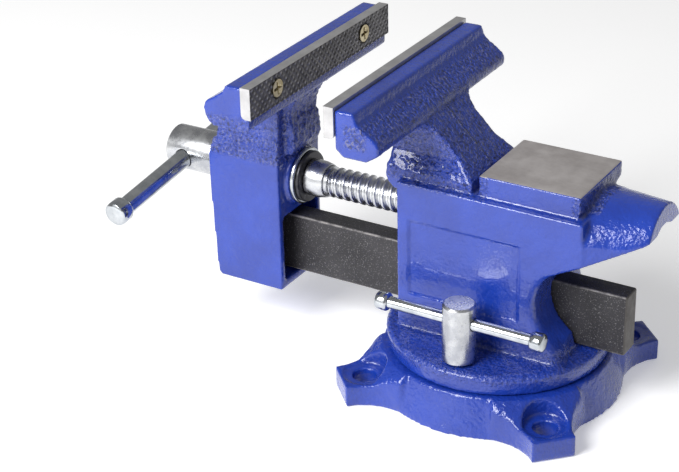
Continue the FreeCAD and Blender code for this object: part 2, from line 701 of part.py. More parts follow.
def make_bar_screw():
    """Screw through the front of the post into the end of the slide bar."""
    radius = dim("bar_screw_radius")
    return turned("bar_screw", [(0, 0), (5.2, 0), (6.0, 0.9), (6.0, 4.0), (radius, 4.0), (radius, 21.0),
                                (0, 21.0)],
                  y=dim("post_front") - 2.9, z=dim("bar_screw_height"), along="Y")


# ---------------------------------------------------------------- swivel lock and pivot

def make_lock():
    """Lock bolt, its sliding tommy bar with two knobs, and the clamp nut under the base plate."""
    x, y = dim("lock_x"), dim("lock_y")
    head, shank = dim("lock_head_radius"), dim("lock_shank_radius")
    seat, top = dim("disc_top") + dim("turn_gap"), dim("lock_head_top")
    bolt = turned("lock_bolt", [(0, 2.0), (shank - 0.8, 2.0), (shank, 2.8), (shank, seat), (head - 1.3, seat),
                                (head, seat + 1.3), (head, top - 0.9), (head - 0.9, top), (0, top)], x=x, y=y)
    hole = doc.addObject("Part::Cylinder", "lock_bar_hole")
    bind(hole, "Radius", dim("lock_bar_radius") + dim("turn_gap"))
    bind(hole, "Height", 20)
    hole.Placement = FreeCAD.Placement(Vector(), FreeCAD.Rotation(Vector(1, 0, 0), -90))
    bind(hole, ".Placement.Base.x", x)
    bind(hole, ".Placement.Base.y", y - 10)
    bind(hole, ".Placement.Base.z", dim("lock_bar_height"))
    bolt = drilled("lock_bolt", bolt, hole)

    length, knob, height = dim("lock_bar_length"), dim("lock_knob_length"), dim("lock_bar_height")
    bar = turned("lock_bar", bar_profile(length, dim("lock_bar_radius"), 1.4, knob - 2.0), x=x, y=y, z=height,
                 along="Y")
    profile = knob_profile(dim("lock_knob_radius"), knob, 1.45, knob - 0.9)
    inner_face = length / 2 - knob + 1.25
    rear = turned("lock_knob_rear", profile, x=x, y=y + inner_face, z=height, along="Y")
    front = turned("lock_knob_front", profile, x=x, y=y - inner_face, z=height, along="-Y")

    nut = new_body("clamp_nut")
    pad(nut, "XY", box_outline(x - 6, x + 6, y - 6, y + 6), 6.0, level=3.2)
    drill(nut, "XY", [(x, y)], shank + dim("face_gap"), 30, level=0)
    return [bolt, bar, rear, front, nut]


def make_pivot():
    """Pivot bolt and washer that hold the swivel disc down in the base."""
    washer_low = dim("cavity_height") - 2.0
    washer = turned("pivot_washer", ring_profile(dim("pivot_radius") + dim("turn_gap"),
                                                 dim("pivot_washer_radius"),
                                                 washer_low, dim("cavity_height") - 0.3))
    bolt = new_body("pivot_bolt")
    corner = dim("pivot_head_flats") / math.sqrt(3)
    hexagon = [(corner * math.cos(math.radians(60 * n)),
                corner * math.sin(math.radians(60 * n))) for n in range(6)]
    head_low = 1.2
    pad(bolt, "XY", hexagon, washer_low - dim("face_gap") - head_low, level=head_low)
    shank = new_sketch(bolt, "XY", head_low)
    draw_circle(shank, 0, 0, dim("pivot_radius"))
    extrude(bolt, "Pad", shank, 14.5, False, False)
    return [washer, bolt]


# ---------------------------------------------------------------- assembly

def build_all():
    """Every piece of the vise."""
    pieces = [make_swivel_base(), make_fixed_jaw(), make_moving_jaw(), make_slide_bar(), make_bar_screw()]
    for name, grip, facing in (("fixed_jaw_plate", dim("fixed_grip"), -1),
                               ("moving_jaw_plate", moving_grip(), 1)):
        pieces.append(make_jaw_plate(name, grip, facing))
    for name, grip, facing in (("fixed_plate_screws", dim("fixed_grip"), -1),
                               ("moving_plate_screws", moving_grip(), 1)):
        pieces.append(make_plate_screws(name, grip, facing))
    pieces.append(make_spindle())
    pieces += make_spindle_fittings()
    pieces += [make_spindle_nut(), make_set_screw()]
    pieces += make_handle() + make_lock() + make_pivot()
    return pieces


pieces = build_all()
doc.recompute()

for item in doc.Objects:
    if "Invalid" in item.State or "Error" in item.State:
        raise RuntimeError(f"{item.Name} ({item.Label}) failed: {item.State}")

for piece in pieces:
    shape = piece.Shape
    if shape.isNull() or not shape.isValid():
        raise RuntimeError(f"{piece.Label} has no valid shape")
    shape.exportStep(f"parts/{piece.Label}.step")
    print(f"{piece.Label:22s} {len(shape.Solids)} solid(s), {shape.Volume / 1000:.2f} cm3")
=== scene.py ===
"""Bench vise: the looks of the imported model, around the CAD frame. Metres, +Z up, +Y towards the horn."""
import json
import math

import bmesh
import bpy
import numpy as np
from mathutils import Matrix, Vector, noise

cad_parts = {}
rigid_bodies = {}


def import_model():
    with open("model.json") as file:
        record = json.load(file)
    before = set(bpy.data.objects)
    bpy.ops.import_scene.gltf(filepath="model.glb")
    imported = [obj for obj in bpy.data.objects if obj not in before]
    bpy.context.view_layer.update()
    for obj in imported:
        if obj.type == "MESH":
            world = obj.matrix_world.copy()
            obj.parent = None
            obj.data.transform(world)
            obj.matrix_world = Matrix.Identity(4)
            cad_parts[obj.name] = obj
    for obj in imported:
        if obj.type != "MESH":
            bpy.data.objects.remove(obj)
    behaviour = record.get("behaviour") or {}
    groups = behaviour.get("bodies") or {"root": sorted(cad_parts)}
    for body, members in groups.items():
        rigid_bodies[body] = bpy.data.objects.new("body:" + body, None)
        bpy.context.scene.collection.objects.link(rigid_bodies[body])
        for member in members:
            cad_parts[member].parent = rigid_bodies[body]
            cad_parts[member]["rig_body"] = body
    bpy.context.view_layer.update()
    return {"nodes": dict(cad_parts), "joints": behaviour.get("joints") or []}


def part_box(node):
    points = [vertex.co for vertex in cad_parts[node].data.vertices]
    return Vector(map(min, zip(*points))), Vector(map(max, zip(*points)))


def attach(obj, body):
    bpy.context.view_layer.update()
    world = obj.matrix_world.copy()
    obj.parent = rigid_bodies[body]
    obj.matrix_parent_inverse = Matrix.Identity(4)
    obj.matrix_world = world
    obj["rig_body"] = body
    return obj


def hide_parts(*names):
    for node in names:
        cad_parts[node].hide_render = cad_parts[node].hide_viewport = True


MM = 0.001
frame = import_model()
scene = bpy.context.scene
joints = {joint["name"]: joint for joint in frame["joints"]}


def body_of_node(node):
    """The body that a CAD node belongs to."""
    return frame["nodes"][node]["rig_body"]


# ---------------------------------------------------------------- materials

class Look:
    """A node material around one Principled shader."""

    def __init__(self, name, **values):
        self.material = bpy.data.materials.new(name)
        self.material.use_nodes = True
        self.tree = self.material.node_tree
        self.shader = self.tree.nodes["Principled BSDF"]
        for socket, value in values.items():
            self.shader.inputs[socket.replace("_", " ")].default_value = value
        self.place = self.add("ShaderNodeTexCoord").outputs["Object"]

    def add(self, kind, **inputs):
        """A node of that kind, with sockets linked or set by name."""
        node = self.tree.nodes.new(kind)
        for socket, value in inputs.items():
            self.give(node.inputs[socket.replace("_", " ")], value)
        return node

    def give(self, socket, value):
        """Links an output to the socket, or sets a plain value."""
        if isinstance(value, bpy.types.NodeSocket):
            self.tree.links.new(value, socket)
        else:
            socket.default_value = value

    def grain(self, scale, detail=3.0, roughness=0.55, stretch=(1, 1, 1)):
        """Noise over the object's own coordinates, about one lump per 1/scale metres."""
        place = self.place
        if stretch != (1, 1, 1):
            place = self.add("ShaderNodeMapping", Vector=place, Scale=stretch).outputs["Vector"]
        node = self.add("ShaderNodeTexNoise", Vector=place, Scale=scale, Detail=detail, Roughness=roughness)
        return node.outputs["Fac"]

    def steps(self, value, low, high, start=0.0, end=1.0):
        """Maps low..high to start..end, held at both ends."""
        node = self.add("ShaderNodeMapRange", Value=value)
        for socket, amount in zip(("From Min", "From Max", "To Min", "To Max"), (low, high, start, end)):
            node.inputs[socket].default_value = amount
        return node.outputs["Result"]

    def math(self, operation, first, second):
        """The result of a math operation on two values."""
        node = self.tree.nodes.new("ShaderNodeMath")
        node.operation = operation
        self.give(node.inputs[0], first)
        self.give(node.inputs[1], second)
        return node.outputs[0]

    def blend(self, share, first, second):
        """Mixes two colours by a share."""
        node = self.tree.nodes.new("ShaderNodeMix")
        node.data_type = "RGBA"
        self.give(node.inputs[0], share)
        for socket, colour in ((node.inputs[6], first), (node.inputs[7], second)):
            self.give(socket, colour if isinstance(colour, bpy.types.NodeSocket) else (*colour, 1.0))
        return node.outputs[2]

    def mark(self, name):
        """A number kept on the mesh's points."""
        node = self.add("ShaderNodeAttribute")
        node.attribute_name = name
        return node.outputs["Fac"]

    def edges(self):
        """Near 1 on convex edges and near 0 in hollows."""
        return self.add("ShaderNodeNewGeometry").outputs["Pointiness"]

    def colour(self, value):
        """Sets the base colour."""
        self.give(self.shader.inputs["Base Color"], value)

    def roughness(self, value):
        """Sets the roughness."""
        self.give(self.shader.inputs["Roughness"], value)

    def bumps(self, *layers):
        """Stacks bump layers, each a height, a strength and a depth in metres."""
        normal = None
        for height, strength, depth in layers:
            node = self.add("ShaderNodeBump", Height=height, Strength=strength, Distance=depth)
            if normal is not None:
                self.tree.links.new(normal, node.inputs["Normal"])
            normal = node.outputs["Normal"]
        self.tree.links.new(normal, self.shader.inputs["Normal"])


def enamel():
    """Gloss blue enamel over a sand casting: smooth sides, gritty where the mesh says rough. Its colour
    holds painted shade in creases and in the grit's pits, and painted highlights on the grit's crests.
    """
    look = Look("blue_enamel", Coat_Weight=0.5, Coat_Roughness=0.05, IOR=1.5)
    rough = look.mark("rough")
    deep, bright, painted_glint_grey = (0.007, 0.026, 0.23), (0.011, 0.046, 0.37), (0.13, 0.135, 0.28)
    painted_pit_shade = (0.004, 0.008, 0.07)
    paint = look.blend(look.steps(look.grain(55), 0.3, 0.7, 0.35, 1.0), deep, bright)
    # Painted shade: the paint is darkened towards deep navy in creases and hollows, where pointiness is
    # low.
    paint = look.blend(look.steps(look.edges(), 0.42, 0.49, 0.6, 0.0), paint, (0.006, 0.010, 0.09))
    grit = look.grain(700, 2.0)
    # Painted highlight: the crests of the grit on rough areas are made pale grey, standing in for glints of
    # light.
    painted_glint_share = look.math("MULTIPLY", look.steps(rough, 0.12, 1.0), look.steps(grit, 0.52, 0.68))
    paint = look.blend(painted_glint_share, paint, painted_glint_grey)
    # Painted shade: the hollows of the grit on rough areas are darkened to near black.
    pit_shade_share = look.math("MULTIPLY", look.steps(rough, 0.12, 0.6), look.steps(grit, 0.32, 0.47, 0.9, 0.0))
    look.colour(look.blend(pit_shade_share, paint, painted_pit_shade))
    look.roughness(look.steps(look.math("ADD", rough, look.grain(160)), 0.4, 1.6, 0.12, 0.46))
    look.bumps(
        (parting_line(look), 1.0, 0.0008),
        (look.grain(230, 2.0), 0.5, 0.0010),
        (grit, look.steps(rough, 0.0, 0.8, 0.14, 1.0), 0.0020),
    )
    return look.material


def parting_line(look):
    """A thin ridge down the middle of the fixed jaw's neck, left by the mould's seam."""
    x, y, z = look.add("ShaderNodeSeparateXYZ", Vector=look.place).outputs
    ridge = look.steps(look.math("ABSOLUTE", x, 0.0), 0.2 * MM, 0.8 * MM, 1.0, 0.0)
    from_head = look.steps(y, -37 * MM, -35 * MM)
    to_anvil = look.steps(y, -5 * MM, -3 * MM, 1.0, 0.0)
    above_body = look.steps(z, 101 * MM, 103 * MM)
    on_neck = look.math("MULTIPLY", look.math("MULTIPLY", from_head, to_anvil), above_body)
    return look.math("MULTIPLY", ridge, on_neck)


def ground_iron():
    """Bare ground top of the anvil: warm grey with fine grinding lines along its length."""
    look = Look("ground_iron", Metallic=0.55)
    lines = look.grain(240, 4.0, 0.7, (6, 0.5, 1))
    cloud = look.grain(90, 5.0, 0.65)
    tone = look.blend(look.steps(cloud, 0.35, 0.7), (0.40, 0.37, 0.36), (0.54, 0.51, 0.50))
    look.colour(look.blend(look.steps(lines, 0.4, 0.8, 0.0, 0.35), tone, (0.56, 0.53, 0.52)))
    look.roughness(look.steps(cloud, 0.3, 0.7, 0.42, 0.6))
    look.bumps((lines, 0.25, 0.0001), (look.grain(1400), 0.2, 0.0001))
    return look.material


def ground_steel():
    """Milled and ground edges of the jaw plates."""
    look = Look("ground_steel", Metallic=0.8)
    lines = look.grain(300, 4.0, 0.7, (0.6, 5, 5))
    cloud = look.grain(120, 4.0)
    tone = look.blend(look.steps(cloud, 0.3, 0.7), (0.44, 0.435, 0.44), (0.60, 0.595, 0.60))
    look.colour(look.blend(look.steps(lines, 0.5, 0.8, 0.0, 0.4), tone, (0.42, 0.41, 0.42)))
    look.roughness(look.steps(lines, 0.3, 0.7, 0.3, 0.5))
    look.bumps((lines, 0.3, 0.0001),)
    return look.material


def serrated_steel():
    """Blackened gripping face, rubbed brighter on the crests of its teeth."""
    look = Look("serrated_steel", Metallic=0.75)
    crest = look.mark("crest")
    rubbing = look.steps(look.grain(420), 0.3, 0.6, 0.3, 1.0)
    wear = look.math("MULTIPLY", look.steps(crest, 0.45, 0.85), rubbing)
    dark = look.blend(look.steps(look.grain(150), 0.3, 0.7), (0.10, 0.097, 0.10), (0.20, 0.195, 0.20))
    look.colour(look.blend(wear, dark, (0.50, 0.49, 0.51)))
    look.roughness(look.steps(look.grain(500), 0.3, 0.7, 0.3, 0.5))
    look.bumps((look.grain(1100), 0.35, 0.00015),)
    return look.material


def plated(name, tone, shade, smoothest, roughest, speckle):
    """Bright plating over turned steel, with a mottled bloom and fine speckle."""
    look = Look(name, Metallic=1.0)
    mottle = look.grain(140, 5.0, 0.65)
    spots = look.grain(1300, 2.0)
    base = look.blend(look.steps(mottle, 0.35, 0.65), shade, tone)
    fleck = tuple(0.45 * channel for channel in shade)
    look.colour(look.blend(look.steps(spots, 0.62, 0.75, 0.0, speckle), base, fleck))
    look.roughness(look.steps(mottle, 0.3, 0.7, smoothest, roughest))
    look.bumps((look.grain(500), 0.12, 0.0002), (spots, 0.12, 0.0001))
    return look.material


def blackened_bar():
    """The slide bar: black scale with fine pale speckle, rubbed on its edges and browner at its end."""
    look = Look("black_scale", Metallic=0.35)
    speckle = look.steps(look.grain(1700, 2.0), 0.60, 0.70, 0.0, 0.8)
    cloud = look.steps(look.grain(60, 5.0), 0.35, 0.7)
    scale = look.blend(cloud, (0.024, 0.023, 0.026), (0.045, 0.043, 0.047))
    scale = look.blend(speckle, scale, (0.22, 0.215, 0.22))
    rubbed = look.math("MULTIPLY", long_edges(look), look.steps(look.grain(300), 0.35, 0.6, 0.1, 0.7))
    scale = look.blend(rubbed, scale, (0.34, 0.32, 0.31))
    along = look.add("ShaderNodeSeparateXYZ", Vector=look.place).outputs["Y"]
    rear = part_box("slide_bar")[1].y
    end = look.steps(along, rear - 0.7 * MM, rear - 0.3 * MM, 0.0, 0.8)
    look.colour(look.blend(end, scale, (0.10, 0.092, 0.086)))
    look.roughness(look.steps(look.grain(240), 0.3, 0.7, 0.38, 0.6))
    look.bumps((look.grain(600, 4.0), 0.35, 0.0003), (look.grain(1600), 0.3, 0.0002))
    return look.material


def long_edges(look):
    """1 within a millimetre of the slide bar's four long edges."""
    low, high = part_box("slide_bar")
    across, _, up = look.add("ShaderNodeSeparateXYZ", Vector=look.place).outputs
    side = look.steps(look.math("ABSOLUTE", across, 0.0), high.x - 1.0 * MM, high.x - 0.3 * MM)
    top = look.steps(up, high.z - 1.0 * MM, high.z - 0.3 * MM)
    foot = look.steps(up, low.z + 0.3 * MM, low.z + 1.0 * MM, 1.0, 0.0)
    return look.math("MULTIPLY", side, look.math("MAXIMUM", top, foot))


def dark_steel():
    """Oiled dark spring and socket steel."""
    look = Look("dark_steel", Metallic=0.8)
    cloud = look.grain(260, 4.0)
    tone = look.blend(look.steps(cloud, 0.3, 0.7), (0.03, 0.03, 0.034), (0.09, 0.088, 0.095))
    look.colour(look.blend(look.steps(look.grain(700), 0.6, 0.75, 0.0, 0.6), tone, (0.26, 0.26, 0.27)))
    look.roughness(look.steps(cloud, 0.3, 0.7, 0.3, 0.48))
    look.bumps((look.grain(900), 0.2, 0.0002),)
    return look.material


def raw_iron():
    """Unpainted casting of the nut."""
    look = Look("raw_iron", Metallic=0.5)
    cloud = look.grain(200, 5.0, 0.65)
    look.colour(look.blend(look.steps(cloud, 0.35, 0.7), (0.13, 0.12, 0.115), (0.27, 0.26, 0.25)))
    look.roughness(look.steps(cloud, 0.3, 0.7, 0.5, 0.7))
    look.bumps((look.grain(700, 4.0), 0.5, 0.0004),)
    return look.material


enamel_look = enamel()
anvil_look = ground_iron()
plate_look = ground_steel()
teeth_look = serrated_steel()
zinc_look = plated("satin_zinc", (0.66, 0.67, 0.68), (0.42, 0.43, 0.46), 0.20, 0.36, 0.5)
polished_look = plated("polished_zinc", (0.62, 0.64, 0.66), (0.42, 0.45, 0.48), 0.10, 0.20, 0.25)
brass_look = plated("yellow_zinc", (0.66, 0.59, 0.41), (0.36, 0.29, 0.15), 0.28, 0.45, 0.7)
bar_look = blackened_bar()
dark_look = dark_steel()
nut_look = raw_iron()


# ---------------------------------------------------------------- meshes

def new_object(name, points, faces):
    """A mesh object from points in metres and faces."""
    mesh = bpy.data.meshes.new(name)
    mesh.from_pydata([tuple(p) for p in points], [], faces)
    mesh.validate()
    made = bpy.data.objects.new(name, mesh)
    scene.collection.objects.link(made)
    return made


def tidy_normals(mesh):
    """Makes every face of a closed mesh look outwards."""
    grid = bmesh.new()
    grid.from_mesh(mesh)
    bmesh.ops.recalc_face_normals(grid, faces=grid.faces)
    grid.to_mesh(mesh)
    grid.free()


def show(made, node, *looks, sharp=35.0):
    """Puts a finished piece in place of a CAD node, on the same body."""
    tidy_normals(made.data)
    for look in looks:
        made.data.materials.append(look)
    made.data.shade_smooth()
    made.data.set_sharp_from_angle(angle=math.radians(sharp))
    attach(made, body_of_node(node))
    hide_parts(node)


def cad_copy(name, node):
    """A welded copy of a CAD node's mesh, flat areas joined into whole faces."""
    mesh = frame["nodes"][node].data.copy()
    mesh.materials.clear()
    copy = bpy.data.objects.new(name, mesh)
    scene.collection.objects.link(copy)
    grid = bmesh.new()
    grid.from_mesh(mesh)
    bmesh.ops.remove_doubles(grid, verts=grid.verts, dist=2e-6)
    bmesh.ops.dissolve_limit(grid, angle_limit=math.radians(0.4), verts=grid.verts, edges=grid.edges)
    grid.to_mesh(mesh)
    grid.free()
    return copy


def apply_modifiers(made):
    """Replaces the mesh by what its modifiers give."""
    depsgraph = bpy.context.evaluated_depsgraph_get()
    result = bpy.data.meshes.new_from_object(made.evaluated_get(depsgraph))
    made.modifiers.clear()
    made.data = result


def bevel_edges(made, width):
    """Rounds off the sharp edges of a mesh."""
    bevel = made.modifiers.new("edges", "BEVEL")
    bevel.width = width
    bevel.segments = 3
    bevel.limit_method = "ANGLE"
    bevel.angle_limit = math.radians(32)
    apply_modifiers(made)


def softened(node, width, *looks, sharp=35.0):
    """A CAD node with its sharp edges rounded off by a small bevel."""
    made = cad_copy(f"{node}_piece", node)
    bevel_edges(made, width)
    show(made, node, *looks, sharp=sharp)


def turned_faces(rings, segments, start=0):
    """Faces of a closed turned skin: an end point, rings of points, then the other end point."""
    last = start + 1 + rings * segments
    faces = []
    for step in range(segments):
        after = (step + 1) % segments
        faces.append((start, start + 1 + step, start + 1 + after))
        faces.append((last, last - segments + after, last - segments + step))
        for ring in range(rings - 1):
            here = start + 1 + ring * segments
            there = here + segments
            faces.append((here + step, there + step, there + after, here + after))
    return faces


def lathe(name, profile, origin, axis, segments=56):
    """A closed turned shape. The profile is (along, radius) in millimetres, from axis to axis."""
    axis = Vector(axis).normalized()
    side = axis.orthogonal().normalized()
    up = axis.cross(side)
    points = [origin + axis * profile[0][0] * MM]
    for along, radius in profile[1:-1]:
        for step in range(segments):
            angle = 2 * math.pi * step / segments
            ray = side * math.cos(angle) + up * math.sin(angle)
            points.append(origin + axis * along * MM + ray * radius * MM)
    points.append(origin + axis * profile[-1][0] * MM)
    return new_object(name, points, turned_faces(len(profile) - 2, segments))


def sheet_faces(columns, rows, start=0):
    """Quads of a grid of points laid out row after row."""
    faces = []
    for row in range(rows - 1):
        for column in range(columns - 1):
            corner = start + row * columns + column
            faces.append((corner, corner + 1, corner + columns + 1, corner + columns))
    return faces


def set_mark(mesh, name, values):
    """Keeps one number per point on the mesh."""
    attribute = mesh.attributes.new(name, "FLOAT", "POINT")
    attribute.data.foreach_set("value", np.asarray(values, np.float32))


def window(values, low, high, edge):
    """1 from low to high, falling to 0 over the width of the edge on both sides."""
    return np.clip(1 - np.maximum(low - values, values - high) / edge, 0, 1)


# ---------------------------------------------------------------- castings

SKIN_DEPTH = 0.04
GRIT_DEPTH = 0.42
PANEL_DEPTH = 0.8
SMOOTHEST = 0.08


def relax(points, edges, weight, rounds):
    """Moves each point towards the mean of its neighbours, by its own weight."""
    count = np.bincount(edges.ravel(), minlength=len(points))[:, None]
    for _ in range(rounds):
        total = np.empty_like(points)
        for axis in range(3):
            values = points[:, axis]
            total[:, axis] = np.bincount(edges[:, 0], values[edges[:, 1]], len(points))
            total[:, axis] += np.bincount(edges[:, 1], values[edges[:, 0]], len(points))
        points = points + (total / count - points) * weight[:, None]
    return points


def lumps(points, size, seed):
    """Smooth noise from -1 to 1 with lumps about that size in millimetres."""
    return np.array([noise.noise(Vector(p) / (size * MM) + Vector((seed, 0, 0))) for p in points])


def numbers(items, key, width, kind=float):
    """One row of numbers for each vertex or edge."""
    values = np.empty(len(items) * width, kind)
    items.foreach_get(key, values)
    return values.reshape(-1, width)


def move_points(mesh, points):
    """Puts the mesh's vertices at these points."""
    mesh.vertices.foreach_set("co", points.ravel())
    mesh.update()


def casting(node, voxel, rounds, roughness, looks, shape=None, bare=None):
    """A CAD node as a sand casting: rounded edges, local shaping and a lumpy skin."""
    made = cad_copy(f"{node}_casting", node)
    skin = made.modifiers.new("skin", "REMESH")
    skin.mode = "VOXEL"
    skin.voxel_size = voxel * MM
    apply_modifiers(made)
    mesh = made.data
    edges = numbers(mesh.edges, "vertices", 2, int)
    points = numbers(mesh.vertices, "co", 3)
    points = relax(points, edges, np.full(len(points), 0.5), rounds)
    if shape is not None:
        points = shape(points, edges)
    move_points(mesh, points)
    rough, plain = roughness(*(points.T / MM))
    depth = (SKIN_DEPTH + GRIT_DEPTH * rough) * plain * MM
    swell = lumps(points, 3.2, 3.0) * 0.6 + lumps(points, 1.6, 11.0) * 0.5
    move_points(mesh, points + numbers(mesh.vertices, "normal", 3) * (swell * depth)[:, None])
    set_mark(mesh, "rough", rough)
    show(made, node, *looks, sharp=60.0)
    if bare is not None:
        for face in made.data.polygons:
            if bare(face.center / MM, face.normal):
                face.material_index = 1


def shape_fixed(points, edges):
    """Rounds the flank's rear and sinks the bordered panel."""
    x, y, z = points.T / MM
    rear = window(y, 26, 60, 6) * window(z, 30, 64, 6) * window(np.abs(x), 16, 40, 4)
    points = relax(points, edges, 0.5 * rear, 60)
    x, y, z = points.T / MM
    panel = window(y, -31.0, 20.0, 0.9) * window(z, 44.5, 78.5, 0.9) * (x > 23)
    return points - np.column_stack([PANEL_DEPTH * MM * panel, np.zeros((len(points), 2))])


def rough_fixed(x, y, z):
    """Gritty on the head's step, neck and disc; plain on machined surfaces."""
    neck = window(z, 97, 131, 3) * window(y, -44, 2, 3) * window(np.abs(x), -1, 54, 2)
    disc = window(z, 24, 31, 3) * 0.4
    rear = window(y, 43, 50, 2) * window(z, 97, 104, 1) * 0.8
    step = window(z, 124, 132, 2) * window(y, -42, -34, 2)
    rough = np.maximum.reduce([0.8 * neck, disc, rear, step, np.full_like(x, SMOOTHEST)])
    anvil_top = window(z, 105.0, 110, 0.2)
    plate_seat = window(y, -60, -47.0, 0.2)
    underside = window(z, 0, 17.9, 0.1)
    return rough, 1 - np.maximum.reduce([anvil_top, plate_seat, underside])


def rough_moving(x, y, z):
    """Gritty on the rib over the screw, the neck and the shoulder."""
    rib = window(z, 93, 124, 3) * window(y, -104, -88, 3) * window(np.abs(x), 0, 12, 2)
    neck = window(z, 92, 124, 3) * 0.6
    shoulder = window(z, 87, 97, 3) * 0.9
    rough = np.maximum.reduce([2.2 * rib, neck, shoulder, np.full_like(x, SMOOTHEST)])
    plate_seat = window(y, -92.4, -80, 0.2) * window(z, 120, 150, 1)
    return rough, 1 - plate_seat


def shape_base(points, edges):
    """Runs the lugs' sides smoothly into the ring."""
    x, y, z = points.T / MM
    from_lug = np.abs(np.degrees(np.arctan2(y, x)) % 90 - 45)
    outside = window(np.hypot(x, y), 51, 62, 1.5)
    crease = window(from_lug, 17, 33, 4) * outside * window(z, 1.5, 15.0, 1.5)
    return relax(points, edges, 0.5 * crease, 40)


def rough_base(x, y, z):
    """Nearly even skin; the foot is ground flat."""
    return np.full_like(x, 0.14), 1 - window(z, -1, 0.05, 0.1)


def on_anvil_top(centre, normal):
    """Whether a face belongs to the anvil's ground top."""
    return centre.z > 105.0 and normal.z > 0.9 and centre.y > -2


casting("swivel_base", 0.7, 4, rough_base, (enamel_look,), shape=shape_base)
casting("fixed_jaw_body", 0.75, 2, rough_fixed, (enamel_look, anvil_look),
        shape=shape_fixed, bare=on_anvil_top)
casting("moving_jaw", 0.7, 2, rough_moving, (enamel_look,))


# ---------------------------------------------------------------- jaw plates and their screws

PLATE_SCREW_X = 36.0
TOOTH = 3.7
TOOTH_DEPTH = 0.9
CELL = 0.42
BACK_CORNER = 2.2
FACE_SINK = 0.35
SCREW_SINK = 1.6
CROSS_DEPTH = 1.5
CROSS_ARM = 0.62
CROSS_REACH = 2.9
CROSS_TURN = 0.1


def tooth_height(x, z):
    """Crossed diagonal grooves leave small pyramids: 1 on a crest and 0 in a groove."""
    first = np.abs(((x + z) / TOOTH) % 1 - 0.5) * 2
    second = np.abs(((x - z) / TOOTH) % 1 - 0.5) * 2
    return 1 - np.maximum(first, second)


def head_radius(screws):
    """Radius of the screws' heads, from how high they reach."""
    low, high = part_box(screws)
    return (high.z - low.z) / 2 / MM


def slab_faces(columns, rows):
    """Faces of a closed slab: a front sheet, a back sheet and the band between their borders."""
    count = columns * rows
    faces = sheet_faces(columns, rows) + sheet_faces(columns, rows, count)
    ring = list(range(columns))
    ring += [row * columns + columns - 1 for row in range(1, rows)]
    ring += [(rows - 1) * columns + column for column in range(columns - 2, -1, -1)]
    ring += [row * columns for row in range(rows - 2, 0, -1)]
    for here, there in zip(ring, ring[1:] + ring[:1]):
        faces.append((here, there, there + count, here + count))
    return faces


def jaw_plate(node, screws, facing):
    """A jaw plate with pyramid teeth. Facing is +1 where the grip looks to +Y, else -1."""
    low, high = (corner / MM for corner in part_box(node))
    grip, back = (high.y, low.y) if facing > 0 else (low.y, high.y)
    columns = int((high.x - low.x) / CELL) + 1
    rows = int((high.z - low.z) / CELL) + 1
    count = columns * rows
    x, z = np.meshgrid(np.linspace(low.x, high.x, columns), np.linspace(low.z, high.z, rows))
    x, z = x.ravel(), z.ravel()
    border = np.minimum.reduce([x - low.x, high.x - x, z - low.z, high.z - z])
    crest = tooth_height(x, z)
    from_screw = np.hypot(np.abs(x) - PLATE_SCREW_X, z - (low.z + high.z) / 2)
    seat = np.clip((head_radius(screws) + 0.9 - from_screw) / 0.45, 0, 1)
    sunk = (1 - crest) * TOOTH_DEPTH * (1 - seat) + seat * SCREW_SINK
    sunk = np.where(border < 0.1, FACE_SINK, sunk)
    front = np.column_stack([x, grip - facing * sunk, z])
    rounding = np.clip(BACK_CORNER - (z - low.z), 0, BACK_CORNER)
    drop = BACK_CORNER - np.sqrt(BACK_CORNER ** 2 - rounding ** 2)
    rear = np.column_stack([x, back + facing * drop, z])
    made = new_object(f"{node}_serrated", np.vstack([front, rear]) * MM, slab_faces(columns, rows))
    set_mark(made.data, "crest", np.concatenate([crest * (1 - seat), np.zeros(count)]))
    show(made, node, plate_look, teeth_look, sharp=25.0)
    for face in made.data.polygons:
        if abs(face.center.y / MM - grip) < 1.9 and max(face.vertices) < count:
            face.material_index = 1


def cross_recess(across, up):
    """Depth in millimetres of a cross recess at a place on a screw head."""
    wide = max(abs(across), abs(up))
    narrow = min(abs(across), abs(up))
    wall = min(max((CROSS_ARM - narrow) / 0.25, 0), 1)
    end = min(max((CROSS_REACH - wide) / 0.9, 0), 1)
    return CROSS_DEPTH * wall * end


def plate_screws(node, plate, facing):
    """Two countersunk cross-head screws, seen from their heads."""
    low, high = (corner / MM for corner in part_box(plate))
    screw_low, screw_high = (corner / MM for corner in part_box(node))
    grip = high.y if facing > 0 else low.y
    tail = screw_low.y if facing > 0 else screw_high.y
    middle = (low.z + high.z) / 2
    segments, rings = 72, 26
    head = head_radius(node)
    shank, length = 2.5, abs(grip - tail)
    profile = [(head * ring / rings, FACE_SINK) for ring in range(1, rings + 1)]
    profile += [(head, 0.9), (shank, 3.2), (shank, length - 0.6), (shank - 0.6, length)]
    points, faces = [], []
    for centre in (-PLATE_SCREW_X, PLATE_SCREW_X):
        faces += turned_faces(len(profile), segments, len(points))
        points.append((centre, grip - facing * (FACE_SINK + CROSS_DEPTH), middle))
        for radius, depth in profile:
            for step in range(segments):
                angle = 2 * math.pi * step / segments + 0.4
                turned = angle + CROSS_TURN
                if depth == FACE_SINK:
                    sink = depth + cross_recess(radius * math.cos(turned), radius * math.sin(turned))
                else:
                    sink = depth
                across, up = radius * math.cos(angle), radius * math.sin(angle)
                points.append((centre + across, grip - facing * sink, middle + up))
        points.append((centre, tail, middle))
    show(new_object(f"{node}_cross_head", np.array(points) * MM, faces), node, brass_look)


for side, sense in (("moving", 1), ("fixed", -1)):
    jaw_plate(f"{side}_jaw_plate", f"{side}_plate_screws", sense)
    plate_screws(f"{side}_plate_screws", f"{side}_jaw_plate", sense)


# ---------------------------------------------------------------- spindle

SPINDLE_HEIGHT = 75.0
THREAD_PITCH = 4.0
THREAD_CREST = 7.0
THREAD_ROOT = 5.5
THREAD_START = -84.0


